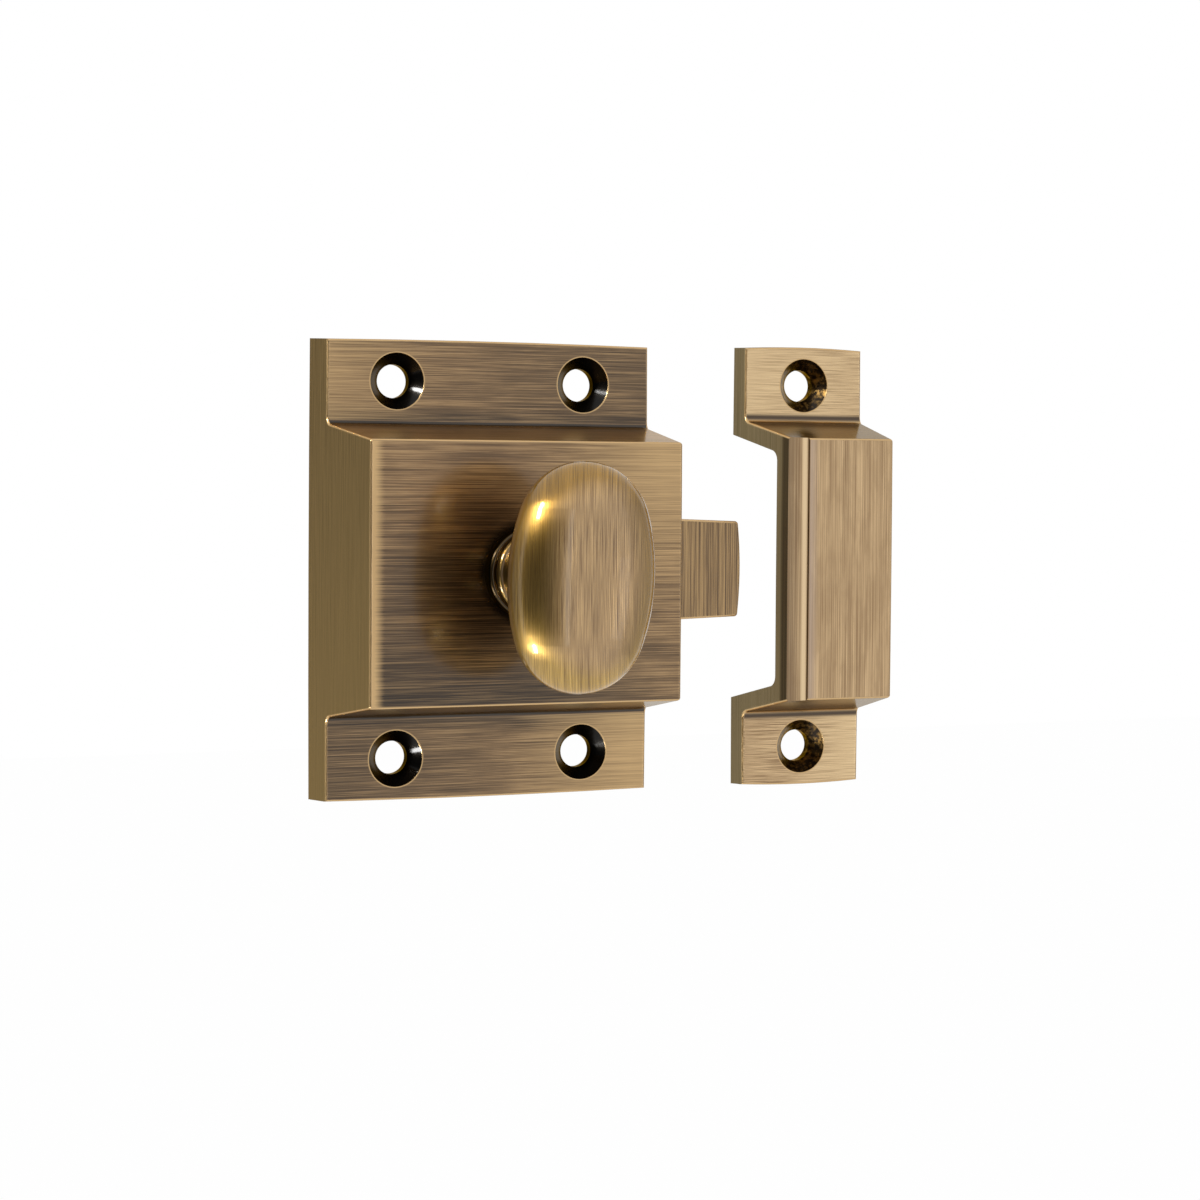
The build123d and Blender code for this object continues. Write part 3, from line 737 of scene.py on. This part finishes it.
def knob_brass(settings):
    """Polished brass, brushed upright on the oval and turned on the neck, under thick gloss lacquer."""
    material, tree = new_material("antique_brass_knob")
    place, spots, _, sizes = brass_parts(tree)
    low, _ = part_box("turn_knob")

    # The belt ran upright over the front, turned a little to the left, and round each flank
    width, length = 0.65 * settings.line_width, 0.6 * settings.line_length
    grain = add(tree, "ShaderNodeMapping", {"Vector": place, "Rotation": (0.0, 0.0, KNOB_GRAIN_TURN)})
    fronts = brush_lines(tree, grain, "Z", width, length, 2.0, through="Y")
    flanks = brush_lines(tree, grain, "Z", width, length, 2.0, through="X")
    aside = (cos(KNOB_GRAIN_TURN), -sin(KNOB_GRAIN_TURN), 0.0)
    normal = place.node.outputs["Normal"]
    flank = add(tree, "ShaderNodeVectorMath", (normal, aside), out=1, operation="DOT_PRODUCT")
    flank = add(tree, "ShaderNodeMath", (flank,), operation="ABSOLUTE")
    flank = add(tree, "ShaderNodeMapRange", (flank, 0.75, 0.92), **EASED)
    upright = add(tree, "ShaderNodeMix", {0: flank, 2: fronts, 3: flanks})
    turned = add(tree, "ShaderNodeMapping", {"Vector": place, "Scale": (0, 1 / settings.line_width, 0)})
    turned = add(tree, "ShaderNodeTexNoise", {"Vector": turned, "Scale": 1.0, "Detail": 2.0})
    neck_starts, neck_full = (low.y + back for back in NECK_BACK)
    on_neck = add(tree, "ShaderNodeMapRange", (spots[1], neck_starts, neck_full), **EASED)
    lines = add(tree, "ShaderNodeMix", {0: on_neck, 2: upright, 3: turned})
    tone = add(tree, "ShaderNodeMapRange", (lines, 0.3, 0.7), **EASED)

    # Browner on the front, yellower towards the margins and brightest below
    middle = add(tree, "ShaderNodeMapRange", (sizes[1], 0.7, 0.97), **EASED)
    dark = add(tree, "ShaderNodeMix", {0: middle, 6: linear("#6E5222"), 7: linear("#694E36")}, **COLOURS)
    lower = add(tree, "ShaderNodeMapRange", (spots[2], 12 * MM, -12 * MM, 0.0, 1.0))
    margin = add(tree, "ShaderNodeMix", {0: lower, 6: linear("#BA8E40"), 7: linear("#E4BC68")}, **COLOURS)
    light = add(tree, "ShaderNodeMix", {0: middle, 6: margin, 7: linear("#DDB884")}, **COLOURS)
    colour = add(tree, "ShaderNodeMix", {0: tone, 6: dark, 7: light}, **COLOURS)
    half_patina = add(tree, "ShaderNodeMath", (on_neck, 0.5), operation="MULTIPLY")
    colour = add(tree, "ShaderNodeMix", {0: half_patina, 6: colour, 7: settings.patina_and_shade}, **COLOURS)
    lacquered(tree, colour, lines, KNOB_ROUGHNESS, settings.lacquer_roughness, spread=KNOB_SPREAD)
    return material


def bolt_brass(settings):
    """Machined brass, brushed upright and worn bright at its edges."""
    material, tree = new_material("antique_brass_bolt")
    place, _, _, sizes = brass_parts(tree)
    lines = brush_lines(tree, place, "Z", settings.line_width, settings.line_length, 4.0)
    tone = add(tree, "ShaderNodeMapRange", (lines, 0.38, 0.62), **EASED)
    colour = add(tree, "ShaderNodeMix", {0: tone, 6: linear("#624A30"), 7: linear("#B49262")}, **COLOURS)
    edge = relief_mask(tree, sizes)
    colour = add(tree, "ShaderNodeMix", {0: edge, 6: colour, 7: settings.relief_and_highlight}, **COLOURS)
    lacquered(tree, colour, lines, BOLT_ROUGHNESS, settings.thin_lacquer_roughness)
    return material


def bush_brass(settings):
    """Turned brass with fine rings, dark with patina and black round its rim, partly with painted shade of
    its gap.
    """
    material, tree = new_material("turned_brass_bush")
    place, _, _, sizes = brass_parts(tree)
    turned = add(tree, "ShaderNodeMapping", {"Vector": place, "Scale": (0, 1 / settings.line_width, 0)})
    lines = add(tree, "ShaderNodeTexNoise", {"Vector": turned, "Scale": 1.0, "Detail": 2.0})
    tone = add(tree, "ShaderNodeMapRange", (lines, *LINE_TONES), **EASED)
    colour = add(tree, "ShaderNodeMix", {0: tone, 6: linear("#241B0E"), 7: linear("#54401E")}, **COLOURS)
    # Painted shade in part: the bush's sides, turned away from the front, are black
    front = add(tree, "ShaderNodeMapRange", (sizes[1], 0.35, 0.8), **EASED)
    colour = add(tree, "ShaderNodeMix", {0: front, 6: settings.countersink_black, 7: colour}, **COLOURS)
    coat = add(tree, "ShaderNodeMapRange", (sizes[1], 0.5, 0.9, 0.0, 0.6), **EASED)
    lacquered(tree, colour, lines, BUSH_ROUGHNESS, settings.lacquer_roughness, coat)
    return material


def machined_brass(settings):
    """Plain yellow brass of the inner pieces, with milling marks and no lacquer."""
    material, tree = new_material("machined_brass")
    place = add(tree, "ShaderNodeTexCoord", out="Object")
    lines = brush_lines(tree, place, "X", settings.line_width, 0.3 * settings.line_length, 8.0)
    tone = add(tree, "ShaderNodeMapRange", (lines, *LINE_TONES), **EASED)
    colour = add(tree, "ShaderNodeMix", {0: tone, 6: linear("#9C7C3C"), 7: linear("#CDAE66")}, **COLOURS)
    left_bare(tree, colour, lines, MILLED_ROUGHNESS, 0.3, MILLING_DEPTH)
    return material


def plated_steel(name, dark, light, line_width):
    """Zinc plated steel: faintly mottled grey with rolling lines."""
    material, tree = new_material(name)
    place = add(tree, "ShaderNodeTexCoord", out="Object")
    lines = brush_lines(tree, place, "X", line_width, 40 * line_width, 1.0)
    spangle = add(tree, "ShaderNodeTexVoronoi", {"Vector": place, "Scale": 1 / SPANGLE_SIZE}, out=1)
    grey = add(tree, "ShaderNodeSeparateColor", (spangle,))
    tone = add(tree, "ShaderNodeMix", {0: SPANGLE_SHARE, 2: lines, 3: grey})
    colour = add(tree, "ShaderNodeMix", {0: tone, 6: dark, 7: light}, **COLOURS)
    left_bare(tree, colour, lines, PLATED_ROUGHNESS, 0.25, MILLING_DEPTH)
    return material


def drawn_wire():
    """Drawn spring steel: dark, with fine lines and a dull oiled gloss."""
    material, tree = new_material("drawn_spring_wire")
    place = add(tree, "ShaderNodeTexCoord", out="Object")
    lines = brush_lines(tree, place, "Z", DRAWN_LINE, DRAWN_LENGTH, 1.0)
    tone = add(tree, "ShaderNodeMapRange", (lines, *LINE_TONES), **EASED)
    colour = add(tree, "ShaderNodeMix", {0: tone, 6: linear("#4C4C4E"), 7: linear("#8C8E92")}, **COLOURS)
    left_bare(tree, colour, lines, WIRE_ROUGHNESS, 0.2, DRAWING_DEPTH)
    return material


class LATCH_OT_case(bpy.types.Operator):
    """Finish the case in brushed antique brass"""

    bl_idname = "latch.case"
    bl_label = "Case"

    def execute(self, context):
        dress("latch_case", case_brass(context.scene.latch_finish))
        return {"FINISHED"}


class LATCH_OT_keeper(bpy.types.Operator):
    """Finish the keeper in brighter brushed brass"""

    bl_idname = "latch.keeper"
    bl_label = "Keeper"

    def execute(self, context):
        dress("keeper", keeper_brass(context.scene.latch_finish))
        return {"FINISHED"}


class LATCH_OT_knob(bpy.types.Operator):
    """Finish the turn knob and the bush round its neck"""

    bl_idname = "latch.knob"
    bl_label = "Knob and bush"

    def execute(self, context):
        dress("turn_knob", knob_brass(context.scene.latch_finish))
        dress("neck_bush", bush_brass(context.scene.latch_finish))
        return {"FINISHED"}


class LATCH_OT_bolt(bpy.types.Operator):
    """Finish the spring bolt"""

    bl_idname = "latch.bolt"
    bl_label = "Bolt"

    def execute(self, context):
        dress("latch_bolt", bolt_brass(context.scene.latch_finish))
        return {"FINISHED"}


class LATCH_OT_inside(bpy.types.Operator):
    """Finish the inner pieces, the back cover and the small screws"""

    bl_idname = "latch.inside"
    bl_label = "Inner pieces and cover"

    def execute(self, context):
        settings = context.scene.latch_finish
        brass = machined_brass(settings)
        for name in ("cam", "friction_washer"):
            dress(name, brass)
        sheet = plated_steel("plated_sheet", linear("#6E6C64"), linear("#A8A498"), settings.line_width)
        dress("back_cover", sheet)
        zinc = plated_steel("zinc_plate", linear("#84868A"), linear("#C0C2C4"), settings.line_width)
        for name in ("cover_screws", "spindle", "grub_screw", "stem_clip"):
            dress(name, zinc)
        return {"FINISHED"}


class LATCH_OT_spring(bpy.types.Operator):
    """Wind the coil spring behind the bolt"""

    bl_idname = "latch.spring"
    bl_label = "Bolt spring"

    def execute(self, context):
        settings = context.scene.latch_spring
        low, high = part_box("bolt_spring")
        middle = (low + high) / 2
        wire = settings.wire_radius
        coil_radius = (high.z - low.z) / 2 - wire
        bpy.ops.object.select_all(action="DESELECT")
        bpy.ops.mesh.primitive_circle_add(
            vertices=WIRE_SIDES,
            radius=wire,
            location=(low.x + wire, middle.y, middle.z),
            rotation=(pi / 2, 0, 0),
        )
        spring = context.object
        spring.name = "bolt_spring_coil"
        bpy.ops.object.mode_set(mode="EDIT")
        bpy.ops.mesh.select_all(action="SELECT")
        bpy.ops.transform.translate(value=(0, 0, coil_radius))
        bpy.ops.object.mode_set(mode="OBJECT")
        bpy.ops.object.transform_apply(location=False, rotation=True, scale=False)
        winding = spring.modifiers.new("winding", "SCREW")
        winding.axis = "X"
        winding.iterations = settings.turns
        winding.screw_offset = (high.x - low.x - 2 * wire) / settings.turns
        winding.steps = winding.render_steps = STEPS_PER_TURN
        winding.use_merge_vertices = False
        bpy.ops.object.modifier_apply(modifier=winding.name)
        bpy.ops.object.transform_apply(location=True, rotation=False, scale=False)

        # Cut ends are closed with flat faces
        bpy.ops.object.mode_set(mode="EDIT")
        bpy.ops.mesh.select_mode(type="EDGE")
        bpy.ops.mesh.select_all(action="DESELECT")
        bpy.ops.mesh.select_non_manifold()
        bpy.ops.mesh.fill_holes(sides=WIRE_SIDES)
        bpy.ops.mesh.select_all(action="SELECT")
        bpy.ops.mesh.normals_make_consistent(inside=False)
        bpy.ops.object.mode_set(mode="OBJECT")
        bpy.ops.object.shade_smooth_by_angle(angle=SMOOTH_ANGLE)
        spring.data.materials.append(drawn_wire())
        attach(spring, "case")
        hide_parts("bolt_spring")
        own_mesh(spring)
        return {"FINISHED"}


class LATCH_OT_stage(bpy.types.Operator):
    """Set the camera, the lamps, the pale floor and the white surroundings"""

    bl_idname = "latch.stage"
    bl_label = "Stage"

    def execute(self, context):
        settings = context.scene.latch_stage
        place_camera(context, settings)
        place_floor(settings)
        place_lamps()
        light_world(context)
        context.scene.view_settings.view_transform = "Standard"
        return {"FINISHED"}


def place_camera(context, settings):
    """The photograph's camera."""
    level = Vector((0, 0, 1))
    heading = Matrix.Rotation(-settings.yaw, 4, "Z") @ Vector((0, 1, 0))
    aside = heading.cross(level)
    forward = Matrix.Rotation(-settings.pitch, 4, aside) @ heading
    up = aside.cross(forward)
    turned = Matrix.Rotation(-settings.roll, 4, forward)
    axes = [turned @ aside, turned @ up, -forward]
    data = bpy.data.cameras.new("photo_camera")
    camera = bpy.data.objects.new("photo_camera", data)
    context.scene.collection.objects.link(camera)
    camera.matrix_world = Matrix.Translation(
        Vector(settings.target) - forward * settings.distance
    ) @ Matrix(axes).transposed().to_4x4()
    data.sensor_width = SENSOR_WIDTH
    data.lens = SENSOR_WIDTH * settings.focal_pixels / PHOTO_SIDE
    half = PHOTO_SIDE / 2
    data.shift_x = (half - settings.axis_pixels[0]) / PHOTO_SIDE
    data.shift_y = (settings.axis_pixels[1] - half) / PHOTO_SIDE
    data.clip_start = 0.01
    context.scene.camera = camera


def seen_directly(tree, kinds):
    """One for the listed kinds of ray, and zero for the rest."""
    path = add(tree, "ShaderNodeLightPath").node.outputs
    seen = path[kinds[0]]
    for kind in kinds[1:]:
        seen = add(tree, "ShaderNodeMath", (seen, path[kind]), operation="MAXIMUM")
    return seen


def place_floor(settings):
    """A plain pale floor, white to the camera, that keeps its shadow. Metal mirrors the studio instead."""
    bpy.ops.object.select_all(action="DESELECT")
    bpy.ops.mesh.primitive_plane_add(size=FLOOR_SIDE, location=(0, 0, cad_box[0].z - settings.floor_drop))
    floor = bpy.context.object
    floor.name = "floor"
    floor.visible_glossy = False
    material, tree = new_material("pale_floor")
    seen = seen_directly(tree, ("Is Camera Ray", "Is Glossy Ray", "Is Transmission Ray"))
    share = add(tree, "ShaderNodeMath", (seen, FLOOR_WHITE_SHARE), operation="MULTIPLY")
    matt = add(tree, "ShaderNodeBsdfDiffuse", {"Color": linear("#F4F4F4")})
    white = add(tree, "ShaderNodeEmission", {"Color": (1, 1, 1, 1), "Strength": 1.0})
    surface = add(tree, "ShaderNodeMixShader", (share, matt, white))
    add(tree, "ShaderNodeOutputMaterial", {"Surface": surface})
    floor.data.materials.append(material)


def place_lamps():
    """Small soft boxes at the left, above and below, and two tall strips in front and at the right."""
    for name, azimuth, elevation, distance, size, power in LAMPS:
        data = bpy.data.lights.new(name, "AREA")
        data.shape = "RECTANGLE"
        data.size, data.size_y = size
        data.energy = power
        lamp = bpy.data.objects.new(name, data)
        bpy.context.scene.collection.objects.link(lamp)
        turn = Matrix.Rotation(radians(azimuth), 4, "Z") @ Matrix.Rotation(-radians(elevation), 4, "X")
        towards = turn @ Vector((0, -1, 0))
        lamp.location = towards * distance
        lamp.rotation_euler = towards.to_track_quat("Z", "Y").to_euler()


def light_world(context):
    """White surroundings for the camera, and for the rest a white studio with a black flag at the left."""
    world = bpy.data.worlds.new("studio")
    context.scene.world = world
    world.use_nodes = True
    tree = world.node_tree
    tree.nodes.clear()
    direction = add(tree, "ShaderNodeTexCoord", out="Generated")
    parts = add(tree, "ShaderNodeSeparateXYZ", (direction,)).node.outputs
    ahead = add(tree, "ShaderNodeMath", (parts[1], -1.0), operation="MULTIPLY")
    azimuth = add(tree, "ShaderNodeMath", (parts[0], ahead), operation="ARCTAN2")
    height = add(tree, "ShaderNodeMath", (parts[2],), operation="ABSOLUTE")
    level = add(tree, "ShaderNodeMapRange", (height, 0.38, 0.58, 1.0, 0.0), **EASED)
    strength = BACKDROP_STRENGTH
    for start, end, share in STUDIO_ZONES:
        zone = window(tree, azimuth, radians(start), radians(end), radians(ZONE_BORDER))
        zone = add(tree, "ShaderNodeMath", (zone, level), operation="MULTIPLY")
        dimmed = add(tree, "ShaderNodeMapRange", (zone, 0.0, 1.0, 1.0, share))
        strength = add(tree, "ShaderNodeMath", (strength, dimmed), operation="MULTIPLY")
    seen = seen_directly(tree, ("Is Camera Ray", "Is Transmission Ray"))
    strength = add(tree, "ShaderNodeMix", {0: seen, 2: strength, 3: 1.0})
    light = add(tree, "ShaderNodeBackground", {"Color": (1, 1, 1, 1), "Strength": strength})
    add(tree, "ShaderNodeOutputWorld", {"Surface": light})


class LATCH_PT_sidebar(bpy.types.Panel):
    """Lists the latch's finishes and its stage"""

    bl_idname = "LATCH_PT_sidebar"
    bl_label = "Cupboard catch latch"
    bl_space_type = "VIEW_3D"
    bl_region_type = "UI"
    bl_category = "Latch"

    def draw(self, context):
        for operator in PIECE_OPERATORS:
            self.layout.operator(operator.bl_idname)
        for settings in (context.scene.latch_finish, context.scene.latch_spring, context.scene.latch_stage):
            column = self.layout.column()
            for name in settings.__annotations__:
                column.prop(settings, name)


PIECE_OPERATORS = (
    LATCH_OT_stage,
    LATCH_OT_case,
    LATCH_OT_keeper,
    LATCH_OT_knob,
    LATCH_OT_bolt,
    LATCH_OT_inside,
    LATCH_OT_spring,
)
SETTINGS = {
    "latch_finish": LatchFinishSettings,
    "latch_spring": LatchSpringSettings,
    "latch_stage": LatchStageSettings,
}


def register():
    for settings in SETTINGS.values():
        bpy.utils.register_class(settings)
    for operator in PIECE_OPERATORS:
        bpy.utils.register_class(operator)
    bpy.utils.register_class(LATCH_PT_sidebar)
    for name, settings in SETTINGS.items():
        setattr(bpy.types.Scene, name, bpy.props.PointerProperty(type=settings))


def unregister():
    for name in SETTINGS:
        delattr(bpy.types.Scene, name)
    bpy.utils.unregister_class(LATCH_PT_sidebar)
    for operator in reversed(PIECE_OPERATORS):
        bpy.utils.unregister_class(operator)
    for settings in reversed(SETTINGS.values()):
        bpy.utils.unregister_class(settings)


def main():
    """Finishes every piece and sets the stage."""
    register()
    bpy.ops.latch.stage()
    bpy.ops.latch.case()
    bpy.ops.latch.keeper()
    bpy.ops.latch.knob()
    bpy.ops.latch.bolt()
    bpy.ops.latch.inside()
    bpy.ops.latch.spring()


if __name__ == "__main__":
    main()
